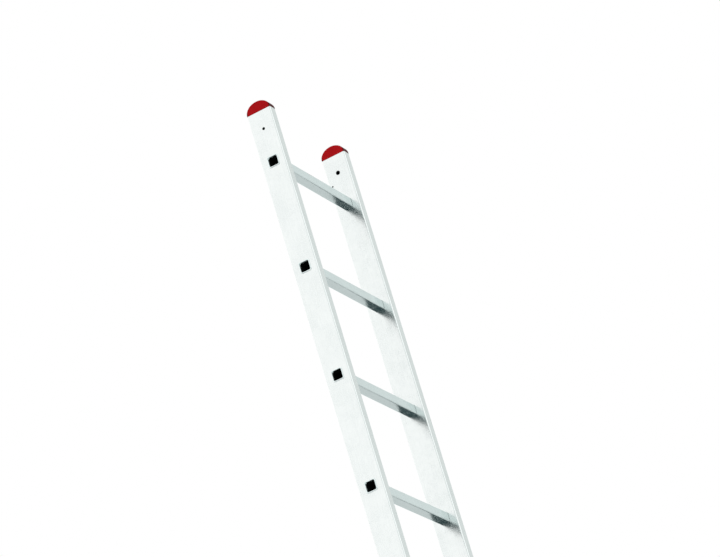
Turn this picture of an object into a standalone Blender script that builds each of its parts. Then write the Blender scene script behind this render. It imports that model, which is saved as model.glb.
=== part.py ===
"""A two-section push-up extension ladder of box-section aluminium, standing upright and run out by six rungs.

Metres, +Z up. X runs along the rungs, -Y is the climber's side, and z = 0 is the floor. The origin is
the middle of the ladder's footprint. The base section stands at the back, and the fly section slides up
its front in four riveted guides. Two spring-loaded pawls on the fly stand on a base rung and carry it.
"""

import math

import bmesh
import bpy

# Sections
RUNG_PITCH = 0.280
RUNG_COUNT = 9
RUN_OUT_PITCHES = 6
SECTION_WIDTH = 0.400
SECTION_GAP = 0.006
STILE_DEPTH = 0.063
STILE_THICKNESS = 0.0265
STILE_WALL = 0.0016
STILE_RADIUS = 0.003
STILE_END = 0.1335
BASE_LIFT = 0.0105
FIT_GAP = 0.0003
CORNER_STEPS = 2
HALF_WIDTH = SECTION_WIDTH / 2
INNER_FACE = HALF_WIDTH - STILE_THICKNESS
STILE_X = HALF_WIDTH - STILE_THICKNESS / 2
STILE_LENGTH = (RUNG_COUNT - 1) * RUNG_PITCH + 2 * STILE_END
SECTION_Y = (STILE_DEPTH + SECTION_GAP) / 2
RUN_OUT = RUN_OUT_PITCHES * RUNG_PITCH

# Rungs: square tubes let through both walls of each stile, with their ends flared over its outer face
RUNG_SIZE = 0.024
RUNG_WALL = 0.0013
RUNG_RADIUS = 0.003
RIM_SIZE = 0.0285
RIM_THICKNESS = 0.0008
MOUTH_SIZE = 0.0236
MOUTH_DEPTH = 0.003

# Drilling near the top of every stile, and a pin hole beside it in the inner walls of the fly
DRILLING_ABOVE_RUNG = 0.087
OUTER_DRILLING_R = 0.0036
INNER_DRILLING_R = 0.0055
PIN_HOLE_R = 0.002
PIN_HOLE_FROM_DRILLING = (0.0235, -0.028)

# End caps, bottom plugs and feet
CAP_RISE = 0.025
CAP_EDGE = 0.0015
CAP_STEPS = 24
PLUG_DEPTH = 0.024
PLUG_THICKNESS = 0.003
FOOT_HEIGHT = 0.030
FOOT_WALL = 0.0025
TREAD_DEPTH = 0.0025
TREAD_WIDTH = 0.004

# Guide brackets and extension stops
STRAP = 0.003
JOGGLE = 0.0018
GUIDE_CLEARANCE = 0.0015
GUIDE_HEIGHT = 0.055
GUIDE_LIP = 0.0165
BASE_GUIDE_BOTTOM = 2.440
FLY_GUIDE_ABOVE_END = 0.023
LIFT_PAST_LAST_RUNG = 0.020
STOP_HEIGHT = 0.015
STOP_WIDTH = 0.022
STOP_PROUD = 0.005

# Rivets
RIVET_HEAD_R = 0.0045
RIVET_HEAD_HEIGHT = 0.0018
RIVET_SHANK_R = 0.0024
RIVET_TAIL = 0.0016
ROUND_STEPS = 16

# Rung locks, with heights counted from the rung that the pawls stand on
PAWL_PIVOT_Y = SECTION_Y - 0.024
PAWL_PIVOT_RISE = 0.071
PAWL_THICKNESS = 0.005
PAWL_SEAT_R = 0.0603
PAWL_SEAT_FROM = 0.0103
PAWL_SEAT_TO_DEG = 26.0
PAWL_BORE_R = 0.0043
PLATE_THICKNESS = 0.0025
PLATE_FRONT = -0.062
PLATE_BACK = 0.020
PLATE_BOTTOM = 0.018
PLATE_TOP = 0.100
PLATE_RIVET_Y = -0.050
PLATE_RIVET_RISES = (0.034, 0.086)
SPRING_SPACE = 0.0062
SPRING_COIL_R = 0.0057
SPRING_WIRE_R = 0.0006
SPRING_TURNS = 3
BOLT_R = 0.004
BOLT_HEAD_R = 0.0075
BOLT_HEAD_HEIGHT = 0.0035
STUD_R = 0.003
STUD_FROM_PIVOT = (-0.0202, 0.0207)
THUMB_TAB_WIDTH = 0.014
THUMB_TAB_SIZE = (0.004, 0.011)

BASE_BOTTOM = BASE_LIFT
BASE_FIRST_RUNG = BASE_BOTTOM + STILE_END
BASE_TOP = BASE_BOTTOM + STILE_LENGTH
FLY_BOTTOM = BASE_BOTTOM + RUN_OUT
FLY_FIRST_RUNG = FLY_BOTTOM + STILE_END
FLY_TOP = FLY_BOTTOM + STILE_LENGTH
SIDES = {"left": -1, "right": 1}


# Scene and materials


def clear_scene():
    for thing in list(bpy.data.objects):
        bpy.data.objects.remove(thing, do_unlink=True)


def make_material(name, colour, roughness, metallic=0.0):
    material = bpy.data.materials.new(name)
    material.use_nodes = True
    shader = material.node_tree.nodes["Principled BSDF"]
    shader.inputs["Base Color"].default_value = (*colour, 1.0)
    shader.inputs["Roughness"].default_value = roughness
    shader.inputs["Metallic"].default_value = metallic
    return material


def add_object(name, data, material, parent=None, location=(0.0, 0.0, 0.0)):
    thing = bpy.data.objects.new(name, data)
    bpy.context.scene.collection.objects.link(thing)
    thing.parent = parent
    thing.location = location
    if material:
        data.materials.append(material)
    return thing


def finish_mesh(bm, name):
    mesh = bpy.data.meshes.new(name)
    bm.to_mesh(mesh)
    bm.free()
    return mesh


def boolean(target, other, operation):
    """Cut or join with a helper that stays out of the model."""
    other.hide_render = True
    other.display_type = "WIRE"
    other.parent = target.parent
    modifier = target.modifiers.new(operation.lower(), "BOOLEAN")
    modifier.object = other
    modifier.operation = operation
    modifier.solver = "EXACT"


# Outlines, as lists of flat points, and the solids made from them


def rounded_rectangle(width, height, radius, steps=CORNER_STEPS):
    points = []
    for quarter, (sx, sy) in enumerate(((1, 1), (-1, 1), (-1, -1), (1, -1))):
        cx = sx * (width / 2 - radius)
        cy = sy * (height / 2 - radius)
        for step in range(steps + 1):
            angle = math.radians(90) * (quarter + step / steps)
            points.append((cx + radius * math.cos(angle), cy + radius * math.sin(angle)))
    return points


def circle(radius, steps=ROUND_STEPS):
    turns = [2 * math.pi * step / steps for step in range(steps)]
    return [(radius * math.cos(turn), radius * math.sin(turn)) for turn in turns]


def arc(cx, cy, radius, from_deg, to_deg, steps):
    angles = [math.radians(from_deg + (to_deg - from_deg) * step / steps) for step in range(steps + 1)]
    return [(cx + radius * math.cos(a), cy + radius * math.sin(a)) for a in angles]


def placed(axis, point, along):
    """A flat point stood across an axis: (y, z) across x, or (x, y) across z."""
    return (along, *point) if axis == "x" else (*point, along)


def signed_volume(faces):
    """Six times the volume that the faces enclose, below zero when they point inwards."""
    total = 0.0
    for face in faces:
        first, *rest = [vert.co for vert in face.verts]
        total += sum(first.dot(one.cross(two)) for one, two in zip(rest, rest[1:]))
    return total


def loft(bm, axis, rings, closed=False):
    """Skin a row of (position, outline) rings. A closed row is a tube with a wall, an open one is filled."""
    loops = [[bm.verts.new(placed(axis, point, along)) for point in outline] for along, outline in rings]
    pairs = list(zip(loops, loops[1:]))
    if closed:
        pairs.append((loops[-1], loops[0]))
    faces = []
    for one, two in pairs:
        faces += [bm.faces.new((one[i - 1], one[i], two[i], two[i - 1])) for i in range(len(one))]
    if not closed:
        faces.append(bm.faces.new(reversed(loops[0])))
        faces.append(bm.faces.new(loops[-1]))
    if signed_volume(faces) < 0:
        bmesh.ops.reverse_faces(bm, faces=faces)


def shift(points, dx, dy):
    return [(x + dx, y + dy) for x, y in points]


def lofted(name, axis, rings, closed=False):
    bm = bmesh.new()
    loft(bm, axis, rings, closed)
    return finish_mesh(bm, name)


def cutter(name, target, solids):
    """One helper of several solids, each (axis, outline, from, to), that cuts them all from the target."""
    bm = bmesh.new()
    for axis, outline, low, high in solids:
        loft(bm, axis, [(low, outline), (high, outline)])
    boolean(target, add_object(name, finish_mesh(bm, name), None), "DIFFERENCE")


def wall_hole(side, y, z, radius, inner_wall=False):
    """A round hole through one wall of a stile, for a cutter."""
    face = INNER_FACE if inner_wall else HALF_WIDTH
    ends = sorted((side * (face - 2 * STILE_WALL), side * (face + 2 * STILE_WALL)))
    return ("x", shift(circle(radius), y, z), *ends)


# The two sections


def rung_heights(first_rung):
    return [first_rung + number * RUNG_PITCH for number in range(RUNG_COUNT)]


def make_stile(name, side, centre_y, bottom, first_rung, parent, material, fastenings):
    outer = shift(rounded_rectangle(STILE_THICKNESS, STILE_DEPTH, STILE_RADIUS), side * STILE_X, centre_y)
    inner_size = (STILE_THICKNESS - 2 * STILE_WALL, STILE_DEPTH - 2 * STILE_WALL)
    inner = shift(rounded_rectangle(*inner_size, STILE_RADIUS - STILE_WALL), side * STILE_X, centre_y)
    top = bottom + STILE_LENGTH
    rings = [(bottom, outer), (top, outer), (top, inner), (bottom, inner)]
    stile = add_object(name, lofted(name, "z", rings, closed=True), material)
    opening_size = RUNG_SIZE + 2 * FIT_GAP
    opening = rounded_rectangle(opening_size, opening_size, RUNG_RADIUS + FIT_GAP)
    reach = sorted((side * (INNER_FACE - 0.01), side * (HALF_WIDTH + 0.01)))
    solids = [("x", shift(opening, centre_y, height), *reach) for height in rung_heights(first_rung)]
    drilling = rung_heights(first_rung)[-1] + DRILLING_ABOVE_RUNG
    solids.append(wall_hole(side, centre_y, drilling, OUTER_DRILLING_R))
    solids.append(wall_hole(side, centre_y, drilling, INNER_DRILLING_R, inner_wall=True))
    solids += fastenings
    cutter(name + "_openings", stile, solids)
    hang_on(stile, parent)


def make_rung(name, centre_y, height, parent, material):
    """A square tube as one closed skin: flared rim, outside, far rim, then back through the bore."""
    def ring(size, radius):
        return shift(rounded_rectangle(size, size, radius), centre_y, height)

    face = HALF_WIDTH + FIT_GAP
    end = face + RIM_THICKNESS
    rim = ring(RIM_SIZE, RUNG_RADIUS + (RIM_SIZE - RUNG_SIZE) / 2)
    tube = ring(RUNG_SIZE, RUNG_RADIUS)
    bore_size = RUNG_SIZE - 2 * RUNG_WALL
    bore = ring(bore_size, RUNG_RADIUS - RUNG_WALL)
    mouth = ring(MOUTH_SIZE, RUNG_RADIUS)
    rings = [(-end, rim), (-face, rim), (-face, tube), (face, tube), (face, rim), (end, rim)]
    rings += [(end, mouth), (end - MOUTH_DEPTH, bore), (MOUTH_DEPTH - end, bore), (-end, mouth)]
    rung = add_object(name, lofted(name, "x", rings, closed=True), material)
    hang_on(rung, parent)


def hang_on(thing, parent):
    """Parent a finished piece without moving it."""
    if parent is None:
        return
    thing.parent = parent
    thing.location = -parent.location
    for modifier in thing.modifiers:
        modifier.object.parent = parent
        modifier.object.location = -parent.location


# Moulded ends


def insert_outline(side, centre_y):
    """The part of a cap or plug that sits inside a stile."""
    width = STILE_THICKNESS - 2 * STILE_WALL - 2 * FIT_GAP
    depth = STILE_DEPTH - 2 * STILE_WALL - 2 * FIT_GAP
    return shift(rounded_rectangle(width, depth, 0.001), side * STILE_X, centre_y)


def make_end_cap(name, side, centre_y, top, parent, material):
    """A domed cap: half an ellipse over the stile's depth, with a block below it that plugs the stile."""
    foot = top + FIT_GAP
    half = STILE_DEPTH / 2
    turns = [math.pi * step / CAP_STEPS for step in range(CAP_STEPS + 1)]
    dome = [(centre_y + half * math.cos(turn), foot + CAP_EDGE + CAP_RISE * math.sin(turn)) for turn in turns]
    arch = [(centre_y + half, foot)] + dome + [(centre_y - half, foot)]
    ends = sorted((side * INNER_FACE, side * HALF_WIDTH))
    bm = bmesh.new()
    loft(bm, "x", [(ends[0], arch), (ends[1], arch)])
    cap = add_object(name, finish_mesh(bm, name), material)
    plug_rings = [(top - PLUG_DEPTH, insert_outline(side, centre_y))]
    plug_rings.append((foot + CAP_EDGE, insert_outline(side, centre_y)))
    plug = add_object(name + "_insert", lofted(name + "_insert", "z", plug_rings), None)
    boolean(cap, plug, "UNION")
    hang_on(cap, parent)


def make_bottom_plug(name, side, centre_y, bottom, parent, material):
    outline = shift(rounded_rectangle(STILE_THICKNESS, STILE_DEPTH, STILE_RADIUS), side * STILE_X, centre_y)
    insert = insert_outline(side, centre_y)
    seat = bottom - FIT_GAP
    rings = [(seat - PLUG_THICKNESS, outline), (seat, outline), (seat, insert), (bottom + PLUG_DEPTH, insert)]
    plug = add_object(name, lofted(name, "z", rings), material)
    hang_on(plug, parent)


def make_foot(name, side, centre_y, bottom, material):
    """A rubber shoe: a cup round the stile's lower end, with a grooved sole."""
    centre = (side * STILE_X, centre_y)
    size = (STILE_THICKNESS + 2 * (FIT_GAP + FOOT_WALL), STILE_DEPTH + 2 * (FIT_GAP + FOOT_WALL))
    outer = shift(rounded_rectangle(*size, STILE_RADIUS + FOOT_WALL), *centre)
    pocket_size = (STILE_THICKNESS + 2 * FIT_GAP, STILE_DEPTH + 2 * FIT_GAP)
    pocket = shift(rounded_rectangle(*pocket_size, STILE_RADIUS + FIT_GAP), *centre)
    seat = bottom - FIT_GAP
    rings = [(0.0, outer), (FOOT_HEIGHT, outer), (FOOT_HEIGHT, pocket), (seat, pocket)]
    foot = add_object(name, lofted(name, "z", rings), material)
    grooves = []
    across = sorted((side * (INNER_FACE - 0.01), side * (HALF_WIDTH + 0.01)))
    for number in (-2, -1, 0, 1, 2):
        middle = centre_y + number * 3 * TREAD_WIDTH
        low, high = middle - TREAD_WIDTH / 2, middle + TREAD_WIDTH / 2
        outline = [(low, -0.01), (high, -0.01), (high, TREAD_DEPTH), (low, TREAD_DEPTH)]
        grooves.append(("x", outline, *across))
    cutter(name + "_tread", foot, grooves)


# Guides, stops and rivets


def make_guide(name, side, own_y, bottom, parent, material, rivet_places):
    """A strap riveted to one stile, joggled out past the other section's stile and hooked round it."""
    toward = -1 if own_y > 0 else 1
    plain = HALF_WIDTH + FIT_GAP
    joggled = HALF_WIDTH + JOGGLE
    start = own_y - toward * 0.020
    bend = own_y + toward * (STILE_DEPTH / 2 + 0.001)
    bent = bend + toward * 0.004
    face = own_y + toward * (STILE_DEPTH + SECTION_GAP + STILE_DEPTH / 2 + GUIDE_CLEARANCE)
    end = face + toward * STRAP
    lip = joggled - GUIDE_LIP
    outline = [(plain, start), (plain, bend), (joggled, bent), (joggled, face), (lip, face), (lip, end)]
    outline += [(joggled + STRAP, end), (joggled + STRAP, bent), (plain + STRAP, bend), (plain + STRAP, start)]
    outline = [(side * x, y) for x, y in outline]
    rings = [(bottom, outline), (bottom + GUIDE_HEIGHT, outline)]
    guide = add_object(name, lofted(name, "z", rings), material)
    holes = []
    for y, z in rivet_places:
        ends = sorted((side * (plain - 0.002), side * (plain + STRAP + 0.002)))
        holes.append(("x", shift(circle(RIVET_SHANK_R + FIT_GAP), y, z), *ends))
    cutter(name + "_holes", guide, holes)
    hang_on(guide, parent)


def make_stop(name, side, top, parent, material):
    """A block on the fly's outer face that meets the base guide from below."""
    low = HALF_WIDTH + FIT_GAP
    outline = rounded_rectangle(STOP_WIDTH, STOP_HEIGHT, 0.003)
    outline = shift(outline, -SECTION_Y, top - STOP_HEIGHT / 2)
    ends = sorted((side * low, side * (low + STOP_PROUD)))
    stop = add_object(name, lofted(name, "x", [(ends[0], outline), (ends[1], outline)]), material)
    hole = shift(circle(RIVET_SHANK_R + FIT_GAP), -SECTION_Y, top - STOP_HEIGHT / 2)
    cutter(name + "_hole", stop, [("x", hole, ends[0] - 0.002, ends[1] + 0.002)])
    hang_on(stop, parent)


def make_rivet(name, side, y, z, seat, tail, parent, material):
    """A dome head on the seat, with its shank running along X to the tail. Both are given on the +X side."""
    way = 1 if seat > tail else -1
    head = seat + way * FIT_GAP
    steps = [(tail, RIVET_SHANK_R), (head, RIVET_SHANK_R), (head, RIVET_HEAD_R)]
    steps.append((head + way * 0.5 * RIVET_HEAD_HEIGHT, 0.9 * RIVET_HEAD_R))
    steps.append((head + way * RIVET_HEAD_HEIGHT, 0.45 * RIVET_HEAD_R))
    rings = [(side * x, shift(circle(radius), y, z)) for x, radius in steps]
    rivet = add_object(name, lofted(name, "x", rings), material)
    hang_on(rivet, parent)


# Rung locks


def lock_layers():
    """Distances from the middle plane of each layer of a lock, from the stile's inner face inwards."""
    plate_outer = INNER_FACE - FIT_GAP
    plate_inner = plate_outer - PLATE_THICKNESS
    pawl_outer = plate_inner - SPRING_SPACE
    pawl_inner = pawl_outer - PAWL_THICKNESS
    return plate_outer, plate_inner, pawl_outer, pawl_inner


def make_lock_plate(name, side, pivot_z, level, parent, material):
    plate_outer, plate_inner, _, pawl_inner = lock_layers()
    middle = ((PLATE_FRONT + PLATE_BACK) / 2, level + (PLATE_BOTTOM + PLATE_TOP) / 2)
    outline = rounded_rectangle(PLATE_BACK - PLATE_FRONT, PLATE_TOP - PLATE_BOTTOM, 0.008)
    outline = shift(outline, *middle)
    rings = [(side * plate_outer, outline), (side * plate_inner, outline)]
    plate = add_object(name, lofted(name, "x", rings), material)
    stud_place = (PAWL_PIVOT_Y + STUD_FROM_PIVOT[0], pivot_z + STUD_FROM_PIVOT[1])
    stud_outline = shift(circle(STUD_R), *stud_place)
    stud_rings = [(side * (plate_outer - 0.001), stud_outline), (side * pawl_inner, stud_outline)]
    stud = add_object(name + "_stud", lofted(name + "_stud", "x", stud_rings), None)
    boolean(plate, stud, "UNION")
    reach = sorted((side * (plate_inner - 0.003), side * (plate_outer + 0.003)))
    holes = [("x", shift(circle(BOLT_R + FIT_GAP), PAWL_PIVOT_Y, pivot_z), *reach)]
    for rise in PLATE_RIVET_RISES:
        holes.append(("x", shift(circle(RIVET_SHANK_R + FIT_GAP), PLATE_RIVET_Y, level + rise), *reach))
    cutter(name + "_holes", plate, holes)
    hang_on(plate, parent)


def pawl_outline():
    """The pawl seen along X, from its pivot: thumb arm above, and below it a foot with an arc seat and a lip.

    The seat is an arc about the pivot, so the load on it runs through the pivot bolt.
    """
    seat_from_deg = -90 + math.degrees(math.asin(PAWL_SEAT_FROM / PAWL_SEAT_R))
    seat = arc(0, 0, PAWL_SEAT_R, seat_from_deg, PAWL_SEAT_TO_DEG - 90, 6)
    boss = 0.009
    outline = arc(0, 0, boss, -20, 72, 6)
    outline += arc(-0.0165, 0.0365, 0.0045, 52, 205, 6)
    outline += arc(0, 0, boss, 166, 186, 2)
    outline += [(-0.0068, -0.050), (-0.0045, -0.0655), (-0.0020, -0.0680), (0.0088, -0.0680)]
    outline += [(0.0103, -0.0665)] + seat + [(0.0272, -0.0520), (0.0262, -0.0490)]
    return outline


def make_pawl(name, side, pivot, parent, material):
    """The object's origin is on its pivot axis."""
    _, _, pawl_outer, pawl_inner = lock_layers()
    low, high = sorted((side * pawl_inner, side * pawl_outer))
    outline = pawl_outline()
    pawl_mesh = lofted(name, "x", [(low, outline), (high, outline)])
    pawl = add_object(name, pawl_mesh, material, parent, pivot)
    tab_inner = pawl_outer - THUMB_TAB_WIDTH
    tab_rings_x = sorted((side * tab_inner, side * (pawl_outer - 0.001)))
    tab = shift(rounded_rectangle(*THUMB_TAB_SIZE, 0.0015), -0.0165, 0.0355)
    tab_mesh = lofted(name + "_tab", "x", [(x, tab) for x in tab_rings_x])
    boolean(pawl, add_object(name + "_tab", tab_mesh, None, parent, pivot), "UNION")
    bore = bmesh.new()
    loft(bore, "x", [(low - 0.02, circle(PAWL_BORE_R)), (high + 0.02, circle(PAWL_BORE_R))])
    bore_mesh = finish_mesh(bore, name + "_bore")
    boolean(pawl, add_object(name + "_bore", bore_mesh, None, parent, pivot), "DIFFERENCE")


def make_pivot_bolt(name, side, pivot_z, parent, material):
    plate_outer, _, _, pawl_inner = lock_layers()
    head = pawl_inner - FIT_GAP
    hexagon = shift(circle(BOLT_HEAD_R, 6), PAWL_PIVOT_Y, pivot_z)
    bolt_rings = [(side * (head - BOLT_HEAD_HEIGHT), hexagon), (side * head, hexagon)]
    bolt = add_object(name, lofted(name, "x", bolt_rings), material)
    shank = shift(circle(BOLT_R), PAWL_PIVOT_Y, pivot_z)
    shank_rings = [(side * (head - 0.001), shank), (side * (plate_outer - FIT_GAP), shank)]
    shank_object = add_object(name + "_shank", lofted(name + "_shank", "x", shank_rings), None)
    boolean(bolt, shank_object, "UNION")
    hang_on(bolt, parent)


def make_spring(name, side, pivot_z, parent, material):
    """A torsion spring on the pivot bolt, with one leg along the plate and one along the pawl."""
    _, plate_inner, pawl_outer, _ = lock_layers()
    margin = SPRING_WIRE_R + 0.0004
    start, end = plate_inner - margin, pawl_outer + margin
    steps = SPRING_TURNS * 14
    points = []
    for step in range(steps + 1):
        share = step / steps
        angle = math.radians(200) + share * SPRING_TURNS * 2 * math.pi
        x = side * (start + (end - start) * share)
        y = PAWL_PIVOT_Y + SPRING_COIL_R * math.cos(angle)
        points.append((x, y, pivot_z + SPRING_COIL_R * math.sin(angle)))
    first, last = points[0], points[-1]
    leg = 0.012
    tangent = math.radians(200 + 90)
    out = (math.cos(tangent) * leg, math.sin(tangent) * leg)
    points.insert(0, (first[0], first[1] - out[0], first[2] - out[1]))
    points.append((last[0], last[1] + out[0], last[2] + out[1]))
    curve = bpy.data.curves.new(name, "CURVE")
    curve.dimensions = "3D"
    curve.bevel_depth = SPRING_WIRE_R
    curve.bevel_resolution = 1
    curve.use_fill_caps = True
    spline = curve.splines.new("POLY")
    spline.points.add(len(points) - 1)
    for target, point in zip(spline.points, points):
        target.co = (*point, 1.0)
    spring = add_object(name, curve, material)
    hang_on(spring, parent)


# Assembly


def build_base(aluminium, red_plastic, rubber, steel):
    first = BASE_FIRST_RUNG
    rivet_zs = (BASE_GUIDE_BOTTOM + 0.014, BASE_GUIDE_BOTTOM + GUIDE_HEIGHT - 0.014)
    rivet_places = [(SECTION_Y, z) for z in rivet_zs]
    for word, side in SIDES.items():
        holes = [wall_hole(side, y, z, RIVET_SHANK_R + FIT_GAP) for y, z in rivet_places]
        make_stile(f"base_stile_{word}", side, SECTION_Y, BASE_BOTTOM, first, None, aluminium, holes)
        make_end_cap(f"base_end_cap_{word}", side, SECTION_Y, BASE_TOP, None, red_plastic)
        make_foot(f"foot_{word}", side, SECTION_Y, BASE_BOTTOM, rubber)
        guide = f"base_guide_{word}"
        make_guide(guide, side, SECTION_Y, BASE_GUIDE_BOTTOM, None, steel, rivet_places)
        for number, (y, z) in enumerate(rivet_places, 1):
            seat = HALF_WIDTH + FIT_GAP + STRAP
            tail = HALF_WIDTH - STILE_WALL - RIVET_TAIL
            make_rivet(f"{guide}_rivet_{number}", side, y, z, seat, tail, None, steel)
    for number, height in enumerate(rung_heights(first), 1):
        make_rung(f"base_rung_{number}", SECTION_Y, height, None, aluminium)


def build_fly(slide, aluminium, red_plastic, black_plastic, steel):
    first = FLY_FIRST_RUNG
    guide_bottom = FLY_BOTTOM + FLY_GUIDE_ABOVE_END
    guide_rivets = [(-SECTION_Y, guide_bottom + rise) for rise in (0.014, GUIDE_HEIGHT - 0.014)]
    stop_top = BASE_GUIDE_BOTTOM - LIFT_PAST_LAST_RUNG - FIT_GAP
    stop_middle = stop_top - STOP_HEIGHT / 2
    plate_rivets = [(PLATE_RIVET_Y, first + rise) for rise in PLATE_RIVET_RISES]
    pivot_z = first + PAWL_PIVOT_RISE
    drilling = rung_heights(first)[-1] + DRILLING_ABOVE_RUNG
    pin_hole = (PIN_HOLE_FROM_DRILLING[0] - SECTION_Y, drilling + PIN_HOLE_FROM_DRILLING[1])
    for word, side in SIDES.items():
        radius = RIVET_SHANK_R + FIT_GAP
        outer_places = guide_rivets + [(-SECTION_Y, stop_middle)]
        holes = [wall_hole(side, y, z, radius) for y, z in outer_places]
        holes += [wall_hole(side, y, z, radius, inner_wall=True) for y, z in plate_rivets]
        holes.append(wall_hole(side, *pin_hole, PIN_HOLE_R, inner_wall=True))
        make_stile(f"fly_stile_{word}", side, -SECTION_Y, FLY_BOTTOM, first, slide, aluminium, holes)
        make_end_cap(f"fly_end_cap_{word}", side, -SECTION_Y, FLY_TOP, slide, red_plastic)
        make_bottom_plug(f"fly_bottom_plug_{word}", side, -SECTION_Y, FLY_BOTTOM, slide, black_plastic)
        guide = f"fly_guide_{word}"
        make_guide(guide, side, -SECTION_Y, guide_bottom, slide, steel, guide_rivets)
        tail = HALF_WIDTH - STILE_WALL - RIVET_TAIL
        for number, (y, z) in enumerate(guide_rivets, 1):
            seat = HALF_WIDTH + FIT_GAP + STRAP
            make_rivet(f"{guide}_rivet_{number}", side, y, z, seat, tail, slide, steel)
        make_stop(f"extension_stop_{word}", side, stop_top, slide, black_plastic)
        stop_seat = HALF_WIDTH + FIT_GAP + STOP_PROUD
        make_rivet(f"extension_stop_rivet_{word}", side, -SECTION_Y, stop_middle, stop_seat, tail, slide, steel)
        lock = f"lock_plate_{word}"
        make_lock_plate(lock, side, pivot_z, first, slide, steel)
        for number, (y, z) in enumerate(plate_rivets, 1):
            seat = lock_layers()[1]
            inner_tail = INNER_FACE + STILE_WALL + RIVET_TAIL
            make_rivet(f"{lock}_rivet_{number}", side, y, z, seat, inner_tail, slide, steel)
        make_pivot_bolt(f"pawl_bolt_{word}", side, pivot_z, slide, steel)
        make_spring(f"pawl_spring_{word}", side, pivot_z, slide, steel)
        pivot = (0.0, PAWL_PIVOT_Y, pivot_z)
        local = tuple(a - b for a, b in zip(pivot, slide.location))
        make_pawl(f"lock_pawl_{word}", side, local, slide, steel)
    for number, height in enumerate(rung_heights(first), 1):
        make_rung(f"fly_rung_{number}", -SECTION_Y, height, slide, aluminium)


def main():
    clear_scene()
    bpy.context.scene.unit_settings.scale_length = 1.0
    aluminium = make_material("satin_aluminium", (0.78, 0.80, 0.79), 0.38, 1.0)
    red_plastic = make_material("red_plastic", (0.55, 0.03, 0.025), 0.45)
    black_plastic = make_material("black_plastic", (0.03, 0.03, 0.032), 0.5)
    rubber = make_material("black_rubber", (0.02, 0.02, 0.02), 0.8)
    steel = make_material("zinc_plated_steel", (0.62, 0.62, 0.60), 0.35, 1.0)
    slide = bpy.data.objects.new("fly_slide_axis", None)
    bpy.context.scene.collection.objects.link(slide)
    slide.location = (0.0, -SECTION_Y, FLY_BOTTOM)
    build_base(aluminium, red_plastic, rubber, steel)
    build_fly(slide, aluminium, red_plastic, black_plastic, steel)


main()
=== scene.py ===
"""The finished look of a two-section push-up extension ladder in box-section aluminium.

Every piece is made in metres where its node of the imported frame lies, and rides on that node's body.
"""

import math

import bmesh
import bpy
from mathutils import Matrix, Vector


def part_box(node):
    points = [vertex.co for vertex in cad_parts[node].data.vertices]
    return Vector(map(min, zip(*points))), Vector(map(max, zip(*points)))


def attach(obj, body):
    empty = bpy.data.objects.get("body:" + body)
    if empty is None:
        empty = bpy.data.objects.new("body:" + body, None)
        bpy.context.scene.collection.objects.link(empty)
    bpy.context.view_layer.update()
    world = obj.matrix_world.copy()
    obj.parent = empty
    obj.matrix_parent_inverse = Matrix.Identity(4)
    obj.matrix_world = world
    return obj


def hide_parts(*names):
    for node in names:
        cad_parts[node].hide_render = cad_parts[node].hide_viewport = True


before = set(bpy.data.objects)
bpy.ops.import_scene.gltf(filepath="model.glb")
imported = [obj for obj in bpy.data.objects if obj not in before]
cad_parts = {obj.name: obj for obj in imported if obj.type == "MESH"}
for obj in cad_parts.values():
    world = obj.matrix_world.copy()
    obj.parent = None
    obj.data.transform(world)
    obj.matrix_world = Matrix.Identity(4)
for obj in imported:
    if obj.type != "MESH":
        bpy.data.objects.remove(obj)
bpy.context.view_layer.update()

X, Y, Z = 0, 1, 2
SIDES = {"left": -1, "right": 1}

# Sections
HALF_WIDTH = 0.200
STILE_THICKNESS = 0.0265
STILE_DEPTH = 0.063
STILE_WALL = 0.0016
STILE_RADIUS = 0.003
SECTION_Y = 0.0345
INNER_FACE = HALF_WIDTH - STILE_THICKNESS
FIT_GAP = 0.0003
DRILLING_BELOW_TOP = 0.0465
OUTER_DRILLING_R = 0.0036
INNER_DRILLING_R = 0.0055
PIN_HOLE_R = 0.002
EASED_EDGE = 0.00025
PIN_HOLE_FROM_DRILLING = (0.0235, -0.028)

# Rungs
RUNG_SIZE = 0.024
RUNG_RADIUS = 0.003
TREAD_GROOVES = 7
TREAD_PITCH = 0.0025
TREAD_WIDTH = 0.0011
TREAD_DEPTH = 0.0004
TREAD_SLOPE = 0.00025
LIP = [(0.0, 0.0279), (0.00025, 0.0285), (0.00055, 0.0285), (0.0008, 0.0278), (0.0008, 0.0248)]
LIP += [(0.0005, 0.0240), (-0.0004, 0.0232), (-0.0022, 0.0214)]

# Moulded ends
CAP_RISE = 0.025
CAP_EDGE = 0.0015
CAP_ROUNDING = 0.0011
INSERT_STEP = 0.0019
FOOT_WALL = 0.0025
RIB = 0.0008
SOLE_GROOVE_WIDTH = 0.004
SOLE_GROOVE_DEPTH = 0.0025

# Guides, stops, rivets
STRAP = 0.003
JOGGLE = 0.0018
GUIDE_LIP = 0.0165
GUIDE_TAB = 0.020
JOGGLE_RUN = 0.004
STOP_THICKNESS = 0.005
STOP_CORNER = 0.003
RIVET_TAIL = 0.0016
RIVET_SHANK_R = 0.0024
RIVET_HEAD = [(0.0, 0.0045), (0.0004, 0.0045), (0.0008, 0.0043), (0.0012, 0.0038), (0.0015, 0.0031)]
RIVET_HEAD += [(0.0018, 0.0021), (0.0018, 0.0015), (0.0011, 0.0014), (0.0011, 0.0012), (0.0014, 0.0010)]

# Rung locks
PIVOT_Y = 0.0105
PIVOT_Z = 1.895
PLATE_THICKNESS = 0.0025
SPRING_SPACE = 0.0062
PAWL_THICKNESS = 0.005
PLATE_OUTER = INNER_FACE - FIT_GAP
PLATE_INNER = PLATE_OUTER - PLATE_THICKNESS
PAWL_OUTER = PLATE_INNER - SPRING_SPACE
PAWL_INNER = PAWL_OUTER - PAWL_THICKNESS
BOLT_R = 0.004
BOLT_HEAD_R = 0.0075
BOLT_HEAD_HEIGHT = 0.0035
STUD_R = 0.003
STUD_FROM_PIVOT = (-0.0202, 0.0207)
SPRING_COIL_R = 0.0057
SPRING_WIRE_R = 0.0006
SPRING_TURNS = 3


# Finishes


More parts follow.
